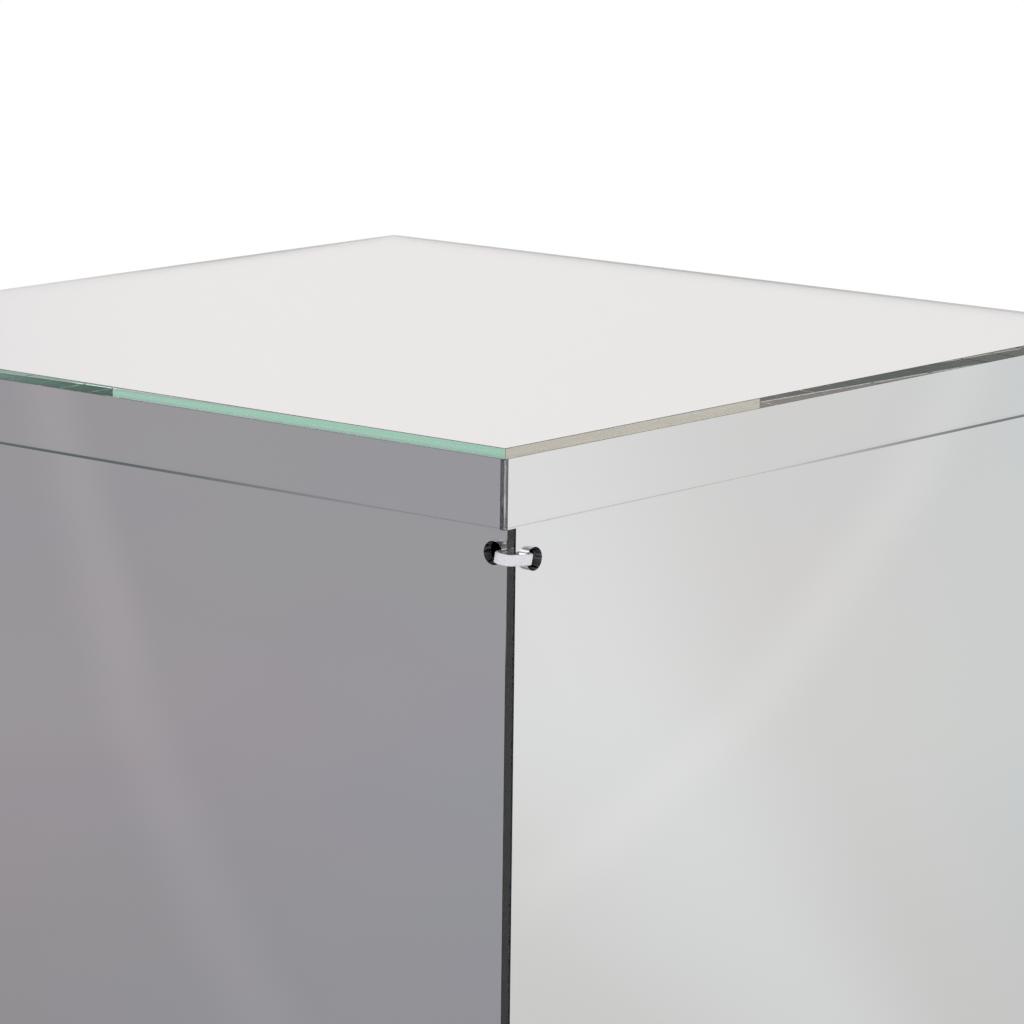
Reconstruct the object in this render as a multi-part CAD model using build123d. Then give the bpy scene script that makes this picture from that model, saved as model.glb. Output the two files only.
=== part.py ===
"""Mirrored acrylic display cube, made flat-packed from sheet.

A square tube of four identical wall panels stands between two identical caps. Each cap is a plate
with four mitred strips bonded round its edge. The upper cap is the lift-off lid and the lower one,
turned over, is the base. The walls overlap pinwheel fashion, each one covering the end of the next,
and a nylon cable tie laces every corner together near its top and near its bottom.

Millimetres, +Z up. The origin is the centre of the base's underside. Every sheet is clear acrylic
with its mirror coat on the side that faces into the cube.
"""
import math
import os

from build123d import *

# --- Driving dimensions ---------------------------------------------------------------------------
cap_side = 304.8  # outside width of the square lid and base
overall_height = 304.8  # from the base's underside to the lid's top
cap_sheet = 3.0  # thickness of the plates and strips of the caps
wall_sheet = 3.0  # thickness of the four wall panels
skirt_height = 19.0  # height of the cap strips, beyond their plate
arris = 0.12  # flat broken along the edges of the plates and the ends of the walls
mitre_flat = 0.35  # how far the sharp outer corner of the mitred strips is broken back

cap_clearance = 1.1  # between skirt and walls on each side, with the walls centred
wall_gap = 0.6  # between a wall's butting end and the wall that covers it
settle_x = 0.82 * cap_clearance  # the walls stand loose in the caps, this far off centre
settle_y = -0.77 * cap_clearance

lap_hole_inset = 4.8  # hole centre to the end of the wall that covers its neighbour
butt_hole_inset = 7.9  # hole centre to the covered end
lap_hole_drop = 7.8  # hole centre beyond the edge of the skirt, at the covering end
butt_hole_drop = 10.4  # the same, at the covered end
tie_hole_clearance = 1.75  # from a tie hole's edge to the edge of a strap in its middle

strap_width = 3.0
strap_thickness = 1.0
strap_standoff = 0.6  # free space between the strap and the outside of the walls
strap_clearance = 0.35  # space left beside the tight strap in a hole
lap_sag = 0.8  # how far below the covering wall's hole centre the strap crosses that hole
butt_rise = 0.45  # how far above the covered wall's hole centre it crosses that one
head_standoff = 1.35  # free space between the head and the inside of the walls
head_lip = 0.25  # how far the head stands out past the strap's flat side at its root
head_length = 4.6
head_thickness = 3.6
head_width = 4.6
head_round = 0.5
window_slack = 0.15  # round the strap in the head's window, apart from the pawl's side
pawl_depth = 0.6
pawl_bite = 0.12  # how deep the pawl's tooth sits in the strap's own teeth
tail_stub = 1.8  # what is left of the trimmed tail beyond the head

# --- Worked-out sizes -----------------------------------------------------------------------------
cap_inside = cap_side - 2 * cap_sheet
tube_side = cap_inside - 2 * cap_clearance
wall_width = tube_side - wall_sheet - wall_gap
wall_height = overall_height - 2 * cap_sheet
tie_hole_radius = strap_width / 2 + tie_hole_clearance
middle_height = overall_height / 2

side_names = ["front", "right", "back", "left"]  # anticlockwise from the -Y side, seen from above
corner_names = ["front_left", "front_right", "back_right", "back_left"]


def turned(shape, quarters):
    """The shape turned by quarter turns about the cube's upright middle line."""
    return Rot(0, 0, 90 * quarters) * shape


def turned_over(shape):
    """The shape mirrored in the cube's middle height, which makes a base piece of a lid piece."""
    return mirror(shape, about=Plane.XY.offset(middle_height))


# --- Caps -----------------------------------------------------------------------------------------
def cap_plate():
    """The lid's top plate, with its cut edges broken."""
    plate = Pos(0, 0, overall_height - cap_sheet / 2) * Box(cap_side, cap_side, cap_sheet)
    return chamfer(plate.edges(), arris)


def cap_strip():
    """The lid's front strip, cut square and mitred at both ends, under the edge of the plate."""
    out = cap_side / 2
    inn = cap_inside / 2
    tip = out - mitre_flat / 2
    outline = Polyline(
        (-out + mitre_flat, -out),
        (out - mitre_flat, -out),
        (tip, -tip),
        (inn, -inn),
        (-inn, -inn),
        (-tip, -tip),
        close=True,
    )
    low = overall_height - cap_sheet - skirt_height
    return Pos(0, 0, low) * extrude(make_face(outline), skirt_height)


# --- Walls ----------------------------------------------------------------------------------------
def left_wall():
    """The left wall: it covers the front wall's end, and its own back end butts on the back wall."""
    outside = -tube_side / 2
    cover_end = -tube_side / 2
    butt_end = cover_end + wall_width
    panel = Pos(outside + wall_sheet / 2, (cover_end + butt_end) / 2, middle_height) * Box(
        wall_sheet, wall_width, wall_height
    )
    panel = chamfer(panel.edges().filter_by(Axis.Z), arris)
    drill = Rot(0, 90, 0) * Cylinder(tie_hole_radius, 3 * wall_sheet)
    rows = [
        (cover_end + lap_hole_inset, skirt_height + lap_hole_drop),
        (butt_end - butt_hole_inset, skirt_height + butt_hole_drop),
    ]
    for along, drop in rows:
        for height in (cap_sheet + drop, overall_height - cap_sheet - drop):
            panel -= Pos(outside + wall_sheet / 2, along, height) * drill
    return panel


# --- Cable ties -----------------------------------------------------------------------------------
# A tie is drawn flat first, with its corner of the walls at 0, 0, X along the front wall and Y along
# the left wall. It is then tilted and moved to its height.
strap_outer = -(strap_standoff + strap_thickness / 2)  # the middle of the strap, outside the walls
head_low_y = wall_sheet + head_standoff  # the side of the head that faces the front wall
root_y = head_low_y + head_lip + strap_thickness / 2  # the middle of the strap at the head
butt_hole_x = wall_sheet + wall_gap + butt_hole_inset


def strap_pull(off_height):
    """How far the tight strap crosses a hole from its centre, as near the corner as its edges go."""
    half_width = strap_width / 2 + off_height
    return math.sqrt((tie_hole_radius - strap_clearance) ** 2 - half_width**2) - strap_thickness / 2


window_x = butt_hole_x - strap_pull(butt_rise)
lap_cross_y = lap_hole_inset - strap_pull(lap_sag)


def tie_route():
    """The strap's centre line, from its head round the corner to the end of its tail.

    It leaves the head, goes out through the left wall's hole, round the corner, and back in through
    the front wall's hole and the head's window.
    """
    bend_x = wall_sheet + wall_gap + strap_thickness
    slope = (root_y - lap_cross_y) / bend_x
    points = [
        (window_x - head_length / 2 + head_round, root_y),
        (bend_x, root_y),
        (strap_outer, lap_cross_y + slope * strap_outer),
        (strap_outer, strap_outer),
        (window_x, strap_outer),
        (window_x, head_low_y + head_thickness + tail_stub),
    ]
    bends = [1.4, 1.7, 2.2, 1.7]  # radii, in strap thicknesses
    return FilletPolyline(*points, radius=[bend * strap_thickness for bend in bends])


def tie_head():
    """The head: a rounded block with a window that the tail passes through, and its pawl.

    The pawl is on the root's side of the window, because the strap's teeth face into the loop.
    """
    middle_y = head_low_y + head_thickness / 2
    block = Pos(window_x, middle_y, 0) * Box(head_length, head_thickness, head_width)
    block = fillet(block.edges(), head_round)
    toothed_face = window_x - strap_thickness / 2
    window_left = toothed_face - pawl_depth
    window_right = window_x + strap_thickness / 2 + window_slack
    window_width = strap_width + 2 * window_slack
    window = Pos((window_left + window_right) / 2, middle_y, 0) * Box(
        window_right - window_left, 2 * head_thickness, window_width
    )
    pawl_outline = Polyline(
        (window_left, head_low_y + 0.3 * head_thickness),
        (toothed_face + pawl_bite, head_low_y + 0.6 * head_thickness),
        (toothed_face + pawl_bite, head_low_y + 0.75 * head_thickness),
        (window_left, head_low_y + 0.75 * head_thickness),
        close=True,
    )
    pawl = extrude(make_face(pawl_outline), window_width / 2, both=True)
    return block - window + pawl


def cable_tie():
    """The tie at the top of the front left corner, one moulded piece closed into a loop."""
    route = tie_route()
    start = Plane(origin=route @ 0, x_dir=(0, 1, 0), z_dir=route % 0)
    tie = sweep(start * Rectangle(strap_thickness, strap_width), path=route) + tie_head()

    # The loop leans about the corner's diagonal, because its two holes are at different heights.
    lap_crossing = Vector(0, lap_cross_y, 0)
    butt_crossing = Vector(window_x, wall_sheet / 2, 0)
    run = (butt_crossing - lap_crossing).dot(Vector(1, -1, 0).normalized())
    fall = butt_hole_drop - lap_hole_drop - lap_sag - butt_rise
    leaning = Pos(lap_crossing) * Rot(0, 0, -45) * Rot(0, math.degrees(math.atan(fall / run)), 0)
    tie = leaning * Rot(0, 0, 45) * Pos(-lap_crossing) * tie
    lap_height = overall_height - cap_sheet - skirt_height - lap_hole_drop - lap_sag
    return Pos(-tube_side / 2, -tube_side / 2, lap_height) * tie


# --- Assembly -------------------------------------------------------------------------------------
def build_nodes():
    """Every sub-part by its name."""
    nodes = {}
    plate = cap_plate()
    strip = cap_strip()
    nodes["lid_top_plate"] = plate
    nodes["base_bottom_plate"] = turned_over(plate)
    for quarter, side in enumerate(side_names):
        nodes["lid_skirt_" + side] = turned(strip, quarter)
        nodes["base_skirt_" + side] = turned_over(turned(strip, quarter))

    settle = Pos(settle_x, settle_y, 0)
    wall = left_wall()
    tie = cable_tie()
    for quarter, side in enumerate(side_names):
        nodes["wall_" + side] = settle * turned(wall, quarter + 1)
    for quarter, corner in enumerate(corner_names):
        upper = turned(tie, quarter)
        nodes["cable_tie_" + corner + "_upper"] = settle * upper
        nodes["cable_tie_" + corner + "_lower"] = settle * turned_over(upper)
    return nodes


os.makedirs("parts", exist_ok=True)
for node, solid in build_nodes().items():
    export_step(solid, "parts/" + node + ".step")
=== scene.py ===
"""The looks of the mirrored acrylic display cube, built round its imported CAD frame. Metres, +Z up.

The CAD sheets stay as they are and become clear cast acrylic. New pieces give each sheet the silver
film and grey backing paint behind it, each mitre its film of cement, and each cable tie its teeth,
head and pawl.
"""

import math

import bmesh
import bpy
from mathutils import Matrix, Vector


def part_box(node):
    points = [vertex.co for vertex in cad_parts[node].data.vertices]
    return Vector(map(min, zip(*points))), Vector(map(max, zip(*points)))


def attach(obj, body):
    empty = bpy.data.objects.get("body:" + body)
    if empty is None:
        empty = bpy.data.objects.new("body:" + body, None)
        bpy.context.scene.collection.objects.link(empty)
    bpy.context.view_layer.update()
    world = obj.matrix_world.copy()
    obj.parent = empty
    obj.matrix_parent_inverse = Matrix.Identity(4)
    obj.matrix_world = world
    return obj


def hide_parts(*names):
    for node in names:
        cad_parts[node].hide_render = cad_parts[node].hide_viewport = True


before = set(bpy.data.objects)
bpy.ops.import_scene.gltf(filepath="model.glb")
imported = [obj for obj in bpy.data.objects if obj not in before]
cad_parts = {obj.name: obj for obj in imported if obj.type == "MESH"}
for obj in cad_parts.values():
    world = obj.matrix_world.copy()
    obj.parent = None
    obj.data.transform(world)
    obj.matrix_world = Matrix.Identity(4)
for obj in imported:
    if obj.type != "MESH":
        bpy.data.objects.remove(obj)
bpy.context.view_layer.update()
scene = bpy.context.scene
mm = 0.001

# --- Sizes read from the frame, and the few that it can't give ------------------------------------
sides = {"front": (0, -1, 0), "right": (1, 0, 0), "back": (0, 1, 0), "left": (-1, 0, 0)}
corners = ["front_left", "front_right", "back_right", "back_left"]
up = Vector((0, 0, 1))

lid_low, lid_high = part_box("lid_top_plate")
cap_sheet = lid_high.z - lid_low.z
skirt_low, skirt_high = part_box("lid_skirt_front")
left_low, left_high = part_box("wall_left")
front_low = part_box("wall_front")[0]
right_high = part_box("wall_right")[1]
back_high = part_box("wall_back")[1]
wall_sheet = left_high.x - left_low.x
wall_gap = front_low.x - left_high.x
tube_middle = Vector(((left_low.x + right_high.x) / 2, (front_low.y + back_high.y) / 2, 0))
middle_height = lid_high.z / 2

film_depth = 0.06 * mm  # how deep the silver film lies in the sheet
paint_proud = 0.02 * mm  # how far the backing paint stands out of it
burnt_back = 0.03 * mm  # how far the laser burnt the film back from the cuts, so that paint shows

mitre_flat = 0.35 * mm  # what is broken off the strips' sharp outer corner, along each side
cement_thickness = 0.05 * mm

strap_width = 3.0 * mm
strap_thickness = 1.0 * mm
strap_outer = 1.1 * mm  # from the walls' outside to the middle of the strap
strap_tilt = math.radians(9.12)
lap_cross_y = 3.534 * mm  # where the strap's middle crosses the covering wall's outside
window_x = 9.853 * mm  # where it crosses the covered wall, measured from the corner
head_low_y = wall_sheet + 1.35 * mm  # the side of the head that faces the wall
head_lip = 0.25 * mm
head_length = 4.6 * mm
head_thickness = 3.6 * mm
head_width = 4.6 * mm
head_round = 0.5 * mm
window_slack = 0.15 * mm
pawl_depth = 0.6 * mm
pawl_bite = 0.12 * mm
tail_stub = 1.8 * mm
tooth_pitch = 0.9 * mm
tooth_height = 0.16 * mm


# --- Materials ------------------------------------------------------------------------------------
def linear(hex_colour):
    """An sRGB hex colour as linear red, green, blue and a full alpha."""
    parts = [int(hex_colour[i : i + 2], 16) / 255 for i in (1, 3, 5)]
    turned = [p / 12.92 if p <= 0.04045 else ((p + 0.055) / 1.055) ** 2.4 for p in parts]
    return (*turned, 1.0)


def add(tree, kind, props=None, values=None, links=None):
    """Adds a shader node with its properties, its inputs' values and the outputs linked to its inputs."""
    node = tree.nodes.new("ShaderNode" + kind)
    for name, value in (props or {}).items():
        setattr(node, name, value)
    for name, value in (values or {}).items():
        node.inputs[name].default_value = value
    for name, socket in (links or {}).items():
        tree.links.new(socket, node.inputs[name])
    return node


def product(tree, one, other):
    """The product of two outputs."""
    return add(
        tree, "Math", props={"operation": "MULTIPLY"}, links={0: one, 1: other}
    ).outputs[0]


def size_of(tree, value):
    """An output without its sign."""
    return add(tree, "Math", props={"operation": "ABSOLUTE"}, links={0: value}).outputs[0]


def less(tree, value, amount):
    """An output less a fixed amount."""
    return add(
        tree, "Math", props={"operation": "SUBTRACT"}, values={1: amount}, links={0: value}
    ).outputs[0]


def tinted(tree, factor, first, second):
    """A mix of two colours, each a fixed colour or an output, by an output between 0 and 1."""
    fixed = {name: end for name, end in (("A", first), ("B", second)) if isinstance(end, tuple)}
    linked = {name: end for name, end in (("A", first), ("B", second)) if name not in fixed}
    return add(
        tree,
        "Mix",
        props={"data_type": "RGBA"},
        values=fixed,
        links={"Factor": factor, **linked},
    ).outputs["Result"]


def soft_range(tree, value, start, end, low=0.0, high=1.0):
    """Carries an output smoothly from low at start to high at end, and holds it beyond them."""
    return add(
        tree,
        "MapRange",
        props={"interpolation_type": "SMOOTHSTEP"},
        values={"From Min": start, "From Max": end, "To Min": low, "To Max": high},
        links={"Value": value},
    ).outputs["Result"]


def from_middle_line(tree, place):
    """How far a place is from the cube's upright middle line."""
    flat = add(
        tree, "VectorMath", props={"operation": "MULTIPLY"}, values={1: (1, 1, 0)}, links={0: place}
    )
    return add(
        tree, "VectorMath", props={"operation": "LENGTH"}, links={0: flat.outputs[0]}
    ).outputs["Value"]


def new_material(name):
    """An empty material and its node tree."""
    material = bpy.data.materials.new(name)
    material.use_nodes = True
    material.node_tree.nodes.clear()
    return material, material.node_tree


def finish_material(tree, shader):
    """Makes a shader the material's surface."""
    add(tree, "OutputMaterial", links={"Surface": shader.outputs[0]})


def cast_acrylic(name, through):
    """Clear cast PMMA sheet: glassy faces with a long, faint roll, and laser-cut ends and holes.

    through is the axis that runs through the sheet. The laser leaves grooves along it. On the round
    walls of the holes, dark streaks along the grooves are painted shade, for the dark inside of the
    box seen through them. The level edges are flame polished.
    """
    material, tree = new_material(name)
    place = add(tree, "TexCoord").outputs["Object"]
    # The roll of a cast sheet is some 60 mm from crest to crest and only microns high.
    roll = add(
        tree, "TexNoise", values={"Scale": 1 / (60 * mm), "Detail": 1.0}, links={"Vector": place}
    )
    rolling = add(
        tree,
        "Bump",
        values={"Strength": 0.5, "Distance": 0.004 * mm},
        links={"Height": roll.outputs["Fac"]},
    )
    # Real grooves are about 0.15 mm apart. They are drawn three times as coarse, so that they show.
    spacing = [0.45 * mm] * 3
    spacing["XYZ".index(through)] = 15 * mm
    drawn = add(
        tree,
        "Mapping",
        values={"Scale": [1 / size for size in spacing]},
        links={"Vector": place},
    )
    grooves = add(
        tree, "TexNoise", values={"Scale": 1.0, "Detail": 1.5}, links={"Vector": drawn.outputs[0]}
    )
    facing = add(tree, "SeparateXYZ", links={"Vector": add(tree, "NewGeometry").outputs["Normal"]})
    cut = add(
        tree,
        "Math",
        props={"operation": "LESS_THAN"},
        values={1: 0.3},
        links={0: size_of(tree, facing.outputs[through])},
    )
    slope = size_of(tree, facing.outputs["Z"])
    unpolished = add(
        tree, "Math", props={"operation": "LESS_THAN"}, values={1: 0.99}, links={0: slope}
    )
    sawn = product(tree, unpolished.outputs[0], cut.outputs[0])
    bump = add(
        tree,
        "Bump",
        values={"Strength": 1.0, "Distance": 0.12 * mm},
        links={
            "Height": product(tree, grooves.outputs["Fac"], sawn),
            "Normal": rolling.outputs["Normal"],
        },
    )
    # Only the round walls of the holes slope, so only they get the painted shade: dark streaks for the
    # dark inside seen through them.
    drilled = add(
        tree, "MapRange", values={"From Min": 0.05, "From Max": 0.3}, links={"Value": slope}
    )
    streaks = soft_range(tree, grooves.outputs["Fac"], 0.38, 0.52, 0.0, 0.92)
    hole_shade_streaks = product(tree, drilled.outputs["Result"], streaks)
    painted_hole_shade = product(tree, hole_shade_streaks, sawn)
    # Where the shade is painted, the hole wall also lets less light through.
    clear = add(
        tree, "Math", props={"operation": "SUBTRACT"}, values={0: 1.0}, links={1: painted_hole_shade}
    )
    # The laser leaves a cut face a little less glassy than the sheet, and a little smoked.
    smoked = tinted(tree, sawn, linear("#FDFEFE"), linear("#CDD2D3"))
    # Painted shade: in its streaks the hole walls' colour turns nearly black.
    hole_shaded_colour = tinted(tree, painted_hole_shade, smoked, linear("#1E1D21"))
    frosting = add(
        tree, "Math", props={"operation": "MULTIPLY"}, values={1: 0.14}, links={0: sawn}
    )
    shader = add(
        tree,
        "BsdfPrincipled",
        values={"IOR": 1.491},
        links={
            "Base Color": hole_shaded_colour,
            "Transmission Weight": clear.outputs[0],
            "Normal": bump.outputs["Normal"],
            "Roughness": frosting.outputs[0],
        },
    )
    finish_material(tree, shader)
    return material


def edge_lit_acrylic():
    """The same sheet where it is a cap's plate: its long cut edges pass light that the sheet tints,
    painted in as a colour of its own on each side, with painted shade beside the film.
    """
    material, tree = new_material("clear_cast_acrylic_plate")
    facing = add(tree, "SeparateXYZ", links={"Vector": add(tree, "NewGeometry").outputs["Normal"]})
    # The green fades to grey in the last millimetre beside the film: painted shade, for the film's dull
    # side that the edge looks into.
    place = add(tree, "SeparateXYZ", links={0: add(tree, "TexCoord").outputs["Object"]})
    outward = size_of(tree, less(tree, place.outputs["Z"], middle_height))
    film_at = middle_height - cap_sheet
    film_shade_band = soft_range(tree, outward, film_at + 0.3 * mm, film_at + 1.3 * mm, 1.0, 0.0)
    green_and_film_shade = tinted(tree, film_shade_band, linear("#C6FEE3"), linear("#C4CBCD"))
    # Painted light: the X-facing edges get a green tint and the Y-facing edges a warm one, for how each
    # edge is lit; the level faces stay nearly white.
    ends = tinted(tree, size_of(tree, facing.outputs["X"]), linear("#FEFEFE"), green_and_film_shade)
    edge_light_tint = tinted(tree, size_of(tree, facing.outputs["Y"]), ends, linear("#EAE7D6"))
    shader = add(
        tree,
        "BsdfPrincipled",
        values={"Roughness": 0.0, "IOR": 1.491, "Transmission Weight": 1.0},
        links={"Base Color": edge_light_tint},
    )
    finish_material(tree, shader)
    return material


def silver_film():
    """Aluminium vacuum-metallised on the sheet's back: a bright, neutral, very slightly wavy mirror."""
    material, tree = new_material("vacuum_metallised_aluminium")
    place = add(tree, "TexCoord").outputs["Object"]
    roll = add(
        tree, "TexNoise", values={"Scale": 1 / (45 * mm), "Detail": 2.0}, links={"Vector": place}
    )
    bump = add(
        tree,
        "Bump",
        values={"Strength": 0.5, "Distance": 0.004 * mm},
        links={"Height": roll.outputs["Fac"]},
    )
    shader = add(
        tree,
        "BsdfPrincipled",
        values={"Base Color": linear("#F0F0F1"), "Metallic": 1.0, "Roughness": 0.0},
        links={"Normal": bump.outputs["Normal"]},
    )
    finish_material(tree, shader)
    return material


def backing_paint():
    """Grey protective paint, roller-coated over the film: flat, with a fine stipple and faint bands."""
    material, tree = new_material("roller_coated_backing_paint")
    place = add(tree, "TexCoord").outputs["Object"]
    cloud = add(
        tree, "TexNoise", values={"Scale": 1 / (35 * mm), "Detail": 5.0}, links={"Vector": place}
    )
    stipple = add(
        tree, "TexNoise", values={"Scale": 1 / (0.8 * mm), "Detail": 2.0}, links={"Vector": place}
    )
    colour = tinted(tree, cloud.outputs["Fac"], linear("#5E6163"), linear("#6E7274"))
    bump = add(
        tree,
        "Bump",
        values={"Strength": 0.6, "Distance": 0.03 * mm},
        links={"Height": stipple.outputs["Fac"]},
    )
    shader = add(
        tree,
        "BsdfPrincipled",
        values={"Roughness": 0.55},
        links={"Base Color": colour, "Normal": bump.outputs["Normal"]},
    )
    finish_material(tree, shader)
    return material


def dried_cement():
    """Solvent cement dried in a mitre: clear where it wetted the sheet, white where it trapped air."""
    material, tree = new_material("dried_solvent_cement")
    place = add(tree, "TexCoord").outputs["Object"]
    # The cement runs down the joint, so its streaks are some eight times taller than wide.
    drawn = add(
        tree,
        "Mapping",
        values={"Scale": (1 / (0.7 * mm), 1 / (0.7 * mm), 1 / (5.5 * mm))},
        links={"Vector": place},
    )
    streaks = add(
        tree,
        "TexNoise",
        values={"Scale": 1.0, "Detail": 3.0, "Distortion": 0.6},
        links={"Vector": drawn.outputs[0]},
    )
    # Most air is trapped near the outer corner, which the strips' own squeeze left starved.
    outer_corner = lid_high.x * math.sqrt(2)
    reach = from_middle_line(tree, place)
    starved = soft_range(tree, reach, outer_corner - 1.4 * mm, outer_corner - 0.4 * mm)
    both = add(
        tree,
        "Math",
        props={"operation": "MULTIPLY_ADD"},
        values={1: 0.17},
        links={0: starved, 2: streaks.outputs["Fac"]},
    )
    airy = soft_range(tree, both.outputs[0], 0.42, 0.95, 0.16, 0.95)
    shader = add(
        tree,
        "BsdfPrincipled",
        values={"Base Color": linear("#C4C5C8"), "Roughness": 0.6, "IOR": 1.49},
        links={"Alpha": airy},
    )
    finish_material(tree, shader)
    return material


def moulded_nylon():
    """Natural nylon 6.6, injection-moulded: milky white, a little light in it, satin, finely grained."""
    material, tree = new_material("moulded_natural_nylon")
    place = add(tree, "TexCoord").outputs["Object"]
    # Real grain is about 0.2 mm. It is drawn three times as coarse, so that it shows.
    grain = add(
        tree,
        "TexNoise",
        values={"Scale": 1 / (0.6 * mm), "Detail": 3.0, "Roughness": 0.7},
        links={"Vector": place},
    )
    colour = tinted(tree, grain.outputs["Fac"], linear("#B6B4BD"), linear("#F4F2F6"))
    bump = add(
        tree,
        "Bump",
        values={"Strength": 0.7, "Distance": 0.06 * mm},
        links={"Height": grain.outputs["Fac"]},
    )
    shader = add(
        tree,
        "BsdfPrincipled",
        values={
            "Roughness": 0.42,
            "IOR": 1.53,
            "Subsurface Weight": 0.25,
            "Subsurface Radius": (1.2 * mm, 1.1 * mm, 1.0 * mm),
            "Subsurface Scale": 1.0,
        },
        links={"Base Color": colour, "Normal": bump.outputs["Normal"]},
    )
    finish_material(tree, shader)
    return material


acrylic = {
    "X": cast_acrylic("clear_cast_acrylic_across_x", "X"),
    "Y": cast_acrylic("clear_cast_acrylic_across_y", "Y"),
}
plate_acrylic = edge_lit_acrylic()
film = silver_film()
paint = backing_paint()
cement = dried_cement()
nylon = moulded_nylon()


# --- Making pieces --------------------------------------------------------------------------------
def make_piece(name, bm, materials, body, replaced=None):
    """Turns a bmesh into a piece of the cube that rides on a body."""
    mesh = bpy.data.meshes.new(name)
    bm.to_mesh(mesh)
    bm.free()
    for material in materials:
        mesh.materials.append(material)
    piece = bpy.data.objects.new(name, mesh)
    scene.collection.objects.link(piece)
    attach(piece, body)
    if replaced:
        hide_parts(replaced)
    return piece


def moved_verts(result):
    """The vertices among what an operator made."""
    return [part for part in result["geom"] if isinstance(part, bmesh.types.BMVert)]


def smooth_below(bm, degrees):
    """Shades the faces smooth, apart from edges sharper than the angle."""
    for face in bm.faces:
        face.smooth = True
    for edge in bm.edges:
        edge.smooth = len(edge.link_faces) == 2 and edge.calc_face_angle() < math.radians(degrees)


# --- Sheets: clear acrylic with its film and paint ------------------------------------------------
def coat_sheet(node, body, inward):
    """The film and paint over a sheet's inner face, with the same outline and holes as the sheet."""
    bm = bmesh.new()
    bm.from_mesh(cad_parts[node].data)
    bmesh.ops.remove_doubles(bm, verts=bm.verts, dist=0.001 * mm)
    back = max(vert.co.dot(inward) for vert in bm.verts)
    others = [
        face
        for face in bm.faces
        if face.normal.dot(inward) < 0.99 or face.calc_center_median().dot(inward) < back - 0.01 * mm
    ]
    bmesh.ops.delete(bm, geom=others, context="FACES")
    bmesh.ops.translate(bm, verts=bm.verts, vec=-film_depth * inward)
    grown = bmesh.ops.extrude_face_region(bm, geom=list(bm.faces), use_keep_orig=True)
    thickness = film_depth + paint_proud
    bmesh.ops.translate(bm, verts=moved_verts(grown), vec=thickness * inward)
    bmesh.ops.recalc_face_normals(bm, faces=bm.faces)
    for face in bm.faces:
        face.material_index = 0 if face.normal.dot(inward) < -0.5 else 1
    fronts = [face for face in bm.faces if face.material_index == 0]
    rim = bmesh.ops.inset_region(bm, faces=fronts, thickness=burnt_back, use_even_offset=True)
    for face in rim["faces"]:
        face.material_index = 1
    return make_piece(node + "_mirror_coat", bm, [film, paint], body)


sheets = {
    "lid_top_plate": ("lid", -up),
    "base_bottom_plate": ("base", up),
}
for side, outward in sides.items():
    inward = -Vector(outward)
    sheets["lid_skirt_" + side] = ("lid", inward)
    sheets["base_skirt_" + side] = ("base", inward)
    sheets["wall_" + side] = ("walls", inward)

for node, (body, inward) in sheets.items():
    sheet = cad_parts[node].data
    sheet.materials.clear()
    if inward.z:
        sheet.materials.append(plate_acrylic)
    else:
        sheet.materials.append(acrylic["X" if inward.x else "Y"])
    coat_sheet(node, body, inward)


# --- Mitres: the cement between two strips --------------------------------------------------------
def cement_sheet(bm, start, end, low, high):
    """Adds an upright sheet of cement between two points of the plan."""
    foot = bm.verts.new(start + up * low)
    heel = bm.verts.new(end + up * low)
    bottom = bm.edges.new((foot, heel))
    grown = bmesh.ops.extrude_edge_only(bm, edges=[bottom])
    bmesh.ops.translate(bm, verts=moved_verts(grown), vec=up * (high - low))
    sheet = list(bottom.link_faces)
    border = list(sheet[0].edges)
    cut = bmesh.ops.subdivide_edges(bm, edges=border, cuts=12, use_grid_fill=True)
    sheet += [part for part in cut["geom"] if isinstance(part, bmesh.types.BMFace)]
    bmesh.ops.solidify(bm, geom=list(set(sheet)), thickness=cement_thickness)


def cement_seam(name, body, corner, low, high):
    """The cement in the mitre of a cap's corner, and what squeezed out of it onto the corner's flat."""
    inward_x = -math.copysign(1, corner.x)
    inward_y = -math.copysign(1, corner.y)
    diagonal = Vector((inward_x, inward_y, 0)).normalized()
    outermost = corner + diagonal * 0.3 * mm
    deepest = corner + diagonal * (cap_sheet * math.sqrt(2) - cement_thickness)
    bm = bmesh.new()
    cement_sheet(bm, outermost, deepest, low, high)
    bead_reach = mitre_flat - 0.02 * mm
    flat_start = corner + Vector((inward_x, 0, 0)) * bead_reach
    flat_end = corner + Vector((0, inward_y, 0)) * bead_reach
    short = 0.2 * mm  # the bead stops this far from the strips' ends
    cement_sheet(bm, flat_start, flat_end, low + short, high - short)
    bmesh.ops.recalc_face_normals(bm, faces=bm.faces)
    return make_piece(name, bm, [cement], body)


for corner_name in corners:
    x = lid_low.x if corner_name.endswith("left") else lid_high.x
    y = lid_low.y if corner_name.startswith("front") else lid_high.y
    corner = Vector((x, y, 0))
    low, high = skirt_low.z, skirt_high.z
    cement_seam("lid_mitre_cement_" + corner_name, "lid", corner, low, high)
    cement_seam(
        "base_mitre_cement_" + corner_name, "base", corner, lid_high.z - high, lid_high.z - low
    )


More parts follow.
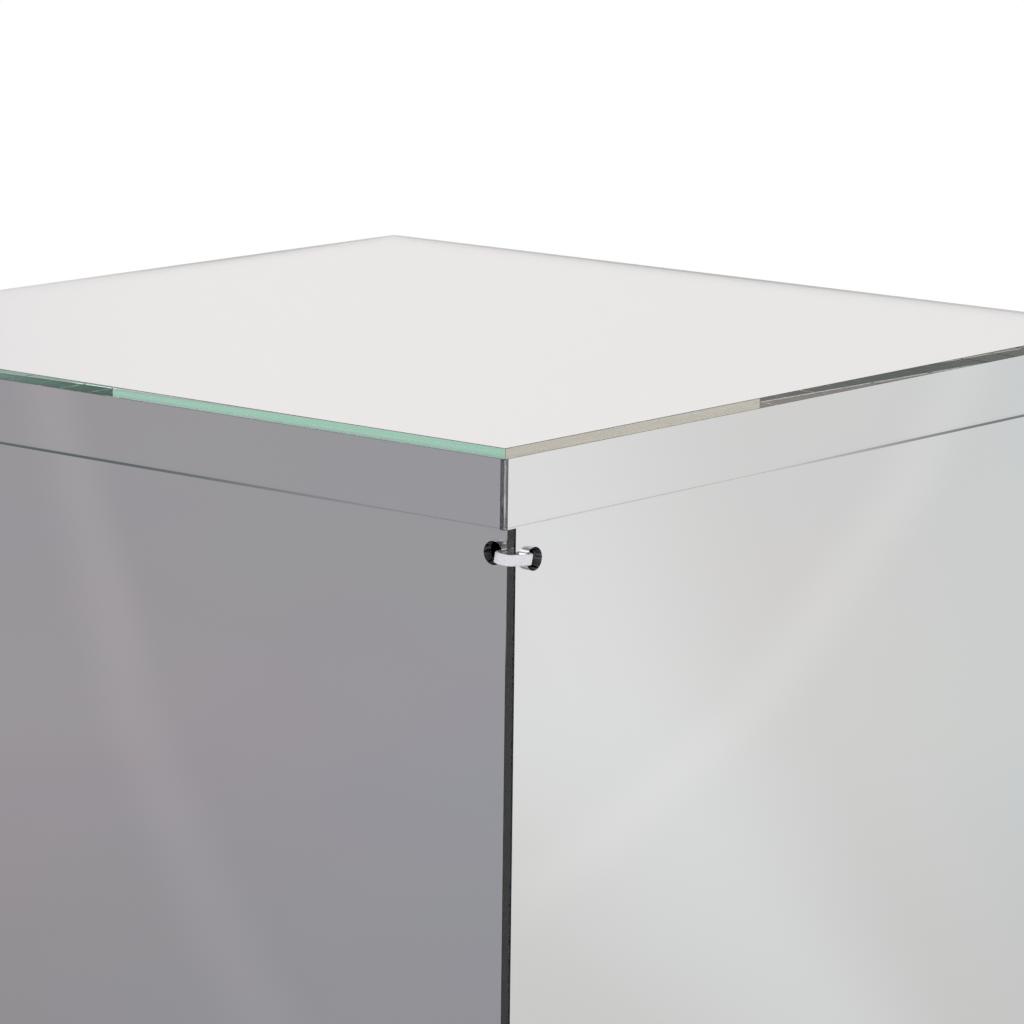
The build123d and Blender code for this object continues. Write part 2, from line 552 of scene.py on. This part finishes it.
# --- Cable ties -----------------------------------------------------------------------------------
def strap_moves():
    """The strap's runs and bends, from inside its head to its cut tail, as (length, radius, turn)."""
    root_y = head_low_y + head_lip + strap_thickness / 2
    bend_x = wall_sheet + wall_gap + strap_thickness
    slope = (root_y - lap_cross_y) / bend_x
    points = [
        Vector((window_x - head_length / 2 + head_round, root_y)),
        Vector((bend_x, root_y)),
        Vector((-strap_outer, lap_cross_y - slope * strap_outer)),
        Vector((-strap_outer, -strap_outer)),
        Vector((window_x, -strap_outer)),
        Vector((window_x, head_low_y + head_thickness + tail_stub)),
    ]
    radii = [1.4 * mm, 1.7 * mm, 2.2 * mm, 1.7 * mm]
    moves = []
    used = 0.0
    for here, bend, after, radius in zip(points, points[1:], points[2:], radii):
        turn = (bend - here).angle(after - bend)
        taken = radius * math.tan(turn / 2)
        moves.append(((bend - here).length - used - taken, radius, turn))
        used = taken
    moves.append(((points[-1] - points[-2]).length - used, None, None))
    return points[0], moves


def add_strap(bm):
    """Carries the strap's section along its route, with a tooth cut at every other step."""
    start, moves = strap_moves()
    half_width, half_thick = strap_width / 2, strap_thickness / 2
    corner = 0.22 * mm  # broken off the strap's long edges
    track = 0.95 * mm  # half the width of the toothed track
    # Half of the outline, as (out of the loop, across the strap); the other half mirrors it.
    half = [
        (-half_thick + 0.05 * mm, track),
        (-half_thick, track + 0.12 * mm),
        (-half_thick, half_width - corner),
        (-half_thick + corner, half_width),
        (half_thick - corner, half_width),
        (half_thick, half_width - corner),
        (half_thick, half_width / 3),
    ]
    outline = half + [(out, -across) for out, across in reversed(half)]
    ring = [bm.verts.new((start.x, start.y + out, across)) for out, across in outline]
    edges = [bm.edges.new((a, b)) for a, b in zip(ring, ring[1:] + ring[:1])]
    bm.faces.new(ring)
    heading, place = Vector((-1, 0, 0)), Vector((start.x, start.y, 0))
    toothed = 0

    def step(edges, transform):
        grown = bmesh.ops.extrude_edge_only(bm, edges=edges)
        bmesh.ops.transform(bm, verts=moved_verts(grown), matrix=transform)
        return [part for part in grown["geom"] if isinstance(part, bmesh.types.BMEdge)]

    for run, radius, turn in moves:
        count = max(1, round(run / (tooth_pitch / 2)))
        for _ in range(count):
            edges = step(edges, Matrix.Translation(heading * run / count))
            place += heading * run / count
            toothed += 1
            cut_tooth(bm, edges, place, heading, track, toothed)
        if radius is None:
            continue
        left = Vector((-heading.y, heading.x, 0))
        centre = place + left * radius
        count = max(2, round(radius * turn / (tooth_pitch / 2)))
        spin = Matrix.Rotation(turn / count, 4, "Z")
        about = Matrix.Translation(centre) @ spin @ Matrix.Translation(-centre)
        for _ in range(count):
            edges = step(edges, about)
            place, heading = about @ place, spin.to_3x3() @ heading
            toothed += 1
            cut_tooth(bm, edges, place, heading, track, toothed)
    bmesh.ops.contextual_create(bm, geom=edges)


def cut_tooth(bm, edges, place, heading, track, count):
    """Moves the strap's toothed track in or out of the loop, by turns."""
    inward = Vector((-heading.y, heading.x, 0))
    way = tooth_height if count % 2 else -tooth_height
    ring = {vert for edge in edges for vert in edge.verts}
    for vert in ring:
        if (vert.co - place).dot(inward) > 0.1 * mm and abs(vert.co.z) < track + 0.01 * mm:
            vert.co -= inward * way


def add_head(bm):
    """The head: a rounded block with a window for the tail, and the pawl that holds the tail's teeth."""
    window_left = window_x - strap_thickness / 2 - pawl_depth
    window_right = window_x + strap_thickness / 2 + window_slack
    window_half = strap_width / 2 + window_slack
    blank = bmesh.ops.create_grid(bm, x_segments=1, y_segments=1, size=0.5)["verts"]
    lay = Matrix.Translation((window_x, head_low_y, 0)) @ Matrix.Rotation(math.radians(90), 4, "X")
    bmesh.ops.transform(
        bm, verts=blank, matrix=lay @ Matrix.Diagonal((head_length, head_width, 1, 1))
    )
    face = blank[0].link_faces[0]
    inset = bmesh.ops.inset_individual(bm, faces=[face], thickness=0.6 * mm)["faces"]
    for vert in face.verts:
        vert.co.x = window_left if vert.co.x < window_x else window_right
        vert.co.z = math.copysign(window_half, vert.co.z)
    bmesh.ops.delete(bm, geom=[face], context="FACES_ONLY")
    grown = bmesh.ops.extrude_face_region(bm, geom=inset, use_keep_orig=True)
    tops = moved_verts(grown)
    bmesh.ops.translate(bm, verts=tops, vec=(0, head_thickness, 0))
    shell = {vert for face in inset for vert in face.verts} | set(tops)
    faces = {face for vert in shell for face in vert.link_faces}
    bmesh.ops.recalc_face_normals(bm, faces=list(faces))
    outer = [
        edge
        for edge in {edge for vert in shell for edge in vert.link_edges}
        if len(edge.link_faces) == 2
        and edge.calc_face_angle() > 1
        and all(abs(abs(vert.co.z) - head_width / 2) < 0.01 * mm for vert in edge.verts)
        or all(abs(abs(vert.co.x - window_x) - head_length / 2) < 0.01 * mm for vert in edge.verts)
    ]
    bmesh.ops.bevel(
        bm,
        geom=outer,
        offset=head_round,
        offset_type="OFFSET",
        affect="EDGES",
        segments=3,
        profile=0.5,
        material=-1,
        clamp_overlap=True,
    )
    add_pawl(bm, window_left, window_half)


def add_pawl(bm, window_left, window_half):
    """The pawl: a wedge across the window, its tip in the strap's teeth."""
    tip = window_x - strap_thickness / 2 + pawl_bite
    outline = [
        (window_left - 0.1 * mm, 0.25),
        (tip, 0.6),
        (tip, 0.75),
        (window_left - 0.1 * mm, 0.75),
    ]
    corners = [
        bm.verts.new((x, head_low_y + share * head_thickness, -window_half))
        for x, share in outline
    ]
    blank = bm.faces.new(corners)
    grown = bmesh.ops.extrude_face_region(bm, geom=[blank], use_keep_orig=True)
    verts = moved_verts(grown)
    bmesh.ops.translate(bm, verts=verts, vec=(0, 0, 2 * window_half))
    faces = {face for vert in verts + corners for face in vert.link_faces}
    bmesh.ops.recalc_face_normals(bm, faces=list(faces))


def tie_blank():
    """The tie at the top of the front left corner, in its place."""
    bm = bmesh.new()
    add_strap(bm)
    bmesh.ops.recalc_face_normals(bm, faces=bm.faces)
    add_head(bm)
    # The loop leans about the corner's diagonal, down towards the covered wall's hole.
    turn = Matrix.Rotation(math.radians(-45), 4, "Z") @ Matrix.Rotation(strap_tilt, 4, "Y")
    lean = turn @ Matrix.Rotation(math.radians(45), 4, "Z")
    about = Vector((0, lap_cross_y, 0))
    bmesh.ops.transform(
        bm, verts=bm.verts, matrix=Matrix.Translation(about) @ lean @ Matrix.Translation(-about)
    )
    low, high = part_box("cable_tie_front_left_upper")
    own_low = min(vert.co.z for vert in bm.verts)
    own_high = max(vert.co.z for vert in bm.verts)
    height = (low.z + high.z) / 2 - (own_low + own_high) / 2
    bmesh.ops.translate(bm, verts=bm.verts, vec=(left_low.x, left_low.y, height))
    return bm


first_tie = tie_blank()
for quarters, corner_name in enumerate(corners):
    quarter_turn = Matrix.Rotation(math.radians(90 * quarters), 4, "Z")
    place = Matrix.Translation(tube_middle) @ quarter_turn @ Matrix.Translation(-tube_middle)
    over = Matrix.Translation((0, 0, 2 * middle_height)) @ Matrix.Scale(-1, 4, up)
    for end, transform in (("upper", place), ("lower", over @ place)):
        bm = first_tie.copy()
        bmesh.ops.transform(bm, verts=bm.verts, matrix=transform)
        if end == "lower":
            bmesh.ops.reverse_faces(bm, faces=bm.faces)
        smooth_below(bm, 40)
        node = "cable_tie_" + corner_name + "_" + end
        make_piece(node + "_moulding", bm, [nylon], "walls", node)
first_tie.free()


# --- Stage: floor and what the mirrors see --------------------------------------------------------
def stage_object(name, bm, material):
    """Turns a bmesh into a thing of the studio, which is no part of the cube."""
    mesh = bpy.data.meshes.new(name)
    bm.to_mesh(mesh)
    bm.free()
    mesh.materials.append(material)
    thing = bpy.data.objects.new(name, mesh)
    scene.collection.objects.link(thing)
    return thing


def floor_material():
    """Pale seamless floor that fades into the white surround."""
    material, tree = new_material("studio_floor")
    place = add(tree, "TexCoord").outputs["Object"]
    reach = add(tree, "VectorMath", props={"operation": "LENGTH"}, links={0: place})
    fade = soft_range(tree, reach.outputs["Value"], 0.7, 1.7)
    matt = add(tree, "BsdfDiffuse", values={"Color": linear("#EDEDEC"), "Roughness": 0.5})
    clear = add(tree, "BsdfTransparent")
    shader = add(
        tree,
        "MixShader",
        links={0: fade, 1: matt.outputs[0], 2: clear.outputs[0]},
    )
    finish_material(tree, shader)
    return material


bm = bmesh.new()
bmesh.ops.create_circle(bm, cap_ends=True, segments=96, radius=1.75)
stage_object("studio_floor", bm, floor_material())


def dot(tree, place, direction):
    """How far a place lies in a direction."""
    return add(
        tree,
        "VectorMath",
        props={"operation": "DOT_PRODUCT"},
        values={1: direction},
        links={0: place},
    ).outputs["Value"]


def soft_band(tree, place, through, towards, half_width):
    """1 on the upright plane through two points of the floor, falling to 0 at half_width from it.

    It also dies away past the second point.
    """
    start = Vector((*through, 0))
    along = (Vector((*towards, 0)) - start).normalized()
    across = Vector((-along.y, along.x, 0))
    off = size_of(tree, less(tree, dot(tree, place, across), across.dot(start)))
    band = soft_range(tree, off, 0.0, half_width, 1.0, 0.0)
    end = along.dot(Vector((*towards, 0)))
    ending = soft_range(tree, dot(tree, place, along), end, end + 0.15, 1.0, 0.0)
    return product(tree, band, ending)


# What the mirrors see, by the compass: degrees anticlockwise from +X, and the tent's colour there.
tent_colours = [
    (-180, "#B4B4B8"),
    (-135, "#D2D2D3"),
    (-90, "#E0E0E0"),
    (-62, "#E2E1DD"),
    (-50, "#EAEAE9"),
    (-43, "#DEDDDB"),
    (-36, "#D8DBDA"),
    (-15, "#C6C7C8"),
    (5, "#CFD0D1"),
    (24, "#F6F4F2"),
    (46, "#F8F5F4"),
    (66, "#D8D7D9"),
    (95, "#B0B0B4"),
    (130, "#A49FA3"),
    (165, "#A2A2A7"),
    (180, "#B4B4B8"),
]
# Faint folds: two points of the floor under each, half its width, its colour and its strength.
tent_folds = [
    ((-0.895, 0.770), (-0.463, 0.237), 0.024, "#FFF2F8", 0.045),
    ((-0.985, 0.870), (-0.800, 0.640), 0.018, "#FFF2F2", 0.025),
    ((0.948, -0.752), (0.416, -0.563), 0.026, "#FFFEFA", 0.14),
]
# Two dark flags hang high up, at the front right and the back left. Each is carried through a plate,
# and draws one end of the plate's edge dark. A point beneath each, half its width and its colour.
tent_flags = [((1.4, -1.03), 0.16, "#7A7C7C"), ((-1.28, 1.12), 0.22, "#5E696B")]
flag_height = 0.5  # from the floor to the flags' middle


def tent_material():
    """What the mirrors see of the room: a soft cloth tent with faint folds, white above it."""
    material, tree = new_material("studio_tent")
    place = add(tree, "TexCoord").outputs["Object"]
    apart = add(tree, "SeparateXYZ", links={"Vector": place})
    compass = add(
        tree,
        "Math",
        props={"operation": "ARCTAN2"},
        links={0: apart.outputs["Y"], 1: apart.outputs["X"]},
    )
    turn = add(
        tree,
        "MapRange",
        values={"From Min": -math.pi, "From Max": math.pi},
        links={"Value": compass.outputs[0]},
    )
    ramp = add(tree, "ValToRGB", links={"Fac": turn.outputs["Result"]})
    ramp.color_ramp.interpolation = "EASE"
    stops = ramp.color_ramp.elements
    while len(stops) < len(tent_colours):
        stops.new(0.5)
    for stop, (degrees, _) in zip(stops, tent_colours):
        stop.position = (degrees + 180) / 360
    for stop, (_, colour) in zip(stops, tent_colours):
        stop.color = linear(colour)

    # The cloth isn't quite even: clouds some 300 mm across, a little pink, green or violet.
    clouds = add(tree, "TexNoise", values={"Scale": 1 / 0.3, "Detail": 2.0}, links={"Vector": place})
    tinged = add(
        tree,
        "Mix",
        props={"data_type": "RGBA", "blend_type": "SOFT_LIGHT"},
        values={"Factor": 0.10},
        links={"A": ramp.outputs["Color"], "B": clouds.outputs["Color"]},
    )
    colour = tinged.outputs["Result"]
    for through, towards, half_width, shade, strength in tent_folds:
        share = add(
            tree,
            "Math",
            props={"operation": "MULTIPLY"},
            values={1: strength},
            links={0: soft_band(tree, place, through, towards, half_width)},
        )
        colour = tinted(tree, share.outputs[0], colour, linear(shade))

    off = size_of(tree, less(tree, apart.outputs["Z"], flag_height))
    flag_rows = soft_range(tree, off, 0.07, 0.15, 1.0, 0.0)
    for towards, half_width, shade in tent_flags:
        near = (0.25 * towards[0], 0.25 * towards[1])
        this_way = add(
            tree,
            "Math",
            props={"operation": "GREATER_THAN"},
            values={1: 0.0},
            links={0: dot(tree, place, (*towards, 0))},
        )
        columns = soft_band(tree, place, near, towards, half_width)
        flag = product(tree, product(tree, columns, flag_rows), this_way.outputs[0])
        colour = tinted(tree, flag, colour, linear(shade))

    # Near the cube the tent is a little dimmer, and there the floor shows through it.
    reach = from_middle_line(tree, place)
    glow = add(
        tree,
        "Emission",
        links={"Color": colour, "Strength": soft_range(tree, reach, 0.35, 0.95, 0.89, 1.0)},
    )
    inner = soft_range(tree, reach, 0.26, 0.42, 1.0, 0.0)
    upper = soft_range(tree, apart.outputs["Z"], 0.64, 0.95)
    ends = add(tree, "Math", props={"operation": "MAXIMUM"}, links={0: inner, 1: upper})
    clear = add(tree, "BsdfTransparent")
    shader = add(
        tree,
        "MixShader",
        links={0: ends.outputs[0], 1: glow.outputs[0], 2: clear.outputs[0]},
    )
    finish_material(tree, shader)
    return material


# The tent's outline from its foot up: how far out from the middle of the floor, and how high.
tent_profile = [
    (0.25, 0.0005),
    (0.42, 0.001),
    (0.6, 0.003),
    (0.9, 0.02),
    (1.15, 0.08),
    (1.35, 0.2),
    (1.45, 0.4),
    (1.48, 0.7),
    (1.5, 1.0),
]
bm = bmesh.new()
points = [bm.verts.new((reach, 0, height)) for reach, height in tent_profile]
edges = [bm.edges.new(pair) for pair in zip(points, points[1:])]
bmesh.ops.spin(
    bm,
    geom=points + edges,
    cent=(0, 0, 0),
    axis=up,
    angle=math.tau,
    steps=96,
    use_merge=True,
)
tent = stage_object("studio_tent", bm, tent_material())
tent.visible_camera = False
tent.visible_diffuse = False
tent.visible_shadow = False

# --- Light ----------------------------------------------------------------------------------------
world = bpy.data.worlds.new("white_surround")
world.use_nodes = True
world.node_tree.nodes["Background"].inputs["Color"].default_value = (1, 1, 1, 1)
world.node_tree.nodes["Background"].inputs["Strength"].default_value = 1.0
scene.world = world


def soft_light(name, place, size, watts):
    """A square soft box that looks at the middle of the cube."""
    data = bpy.data.lights.new(name, "AREA")
    data.energy = watts
    data.size = size
    lamp = bpy.data.objects.new(name, data)
    scene.collection.objects.link(lamp)
    lamp.location = place
    lamp.rotation_mode = "QUATERNION"
    aim = Vector((0, 0, middle_height)) - lamp.location
    lamp.rotation_quaternion = aim.to_track_quat("-Z", "Y")
    lamp.visible_glossy = False
    return lamp


soft_light("key_softbox", (-1.0, -1.6, 2.0), 1.4, 9)

# --- Camera ---------------------------------------------------------------------------------------
camera_data = bpy.data.cameras.new("camera")
camera_data.lens = 162.3
camera_data.sensor_width = 36
camera_data.clip_start = 0.05
camera_data.clip_end = 50
camera = bpy.data.objects.new("camera", camera_data)
scene.collection.objects.link(camera)
near_corner = Vector((lid_low.x, lid_low.y, lid_high.z))
heading, pitch, roll = math.radians(39.53), math.radians(10.86), math.radians(0.718)
camera.matrix_world = (
    Matrix.Translation(near_corner + Vector((-918.0, -760.0, 211.7)) * mm)
    @ Matrix.Rotation(heading - math.radians(90), 4, "Z")
    @ Matrix.Rotation(math.radians(90) - pitch, 4, "X")
    @ Matrix.Rotation(roll, 4, "Z")
)
scene.camera = camera

# --- How light is followed ------------------------------------------------------------------------
# A cut edge shows light that has bounced some dozens of times between the film and the sheet's face.
scene.view_settings.view_transform = "Standard"
scene.cycles.max_bounces = 48
scene.cycles.glossy_bounces = 48
scene.cycles.transmission_bounces = 16
scene.cycles.min_light_bounces = 12
scene.cycles.transparent_max_bounces = 12
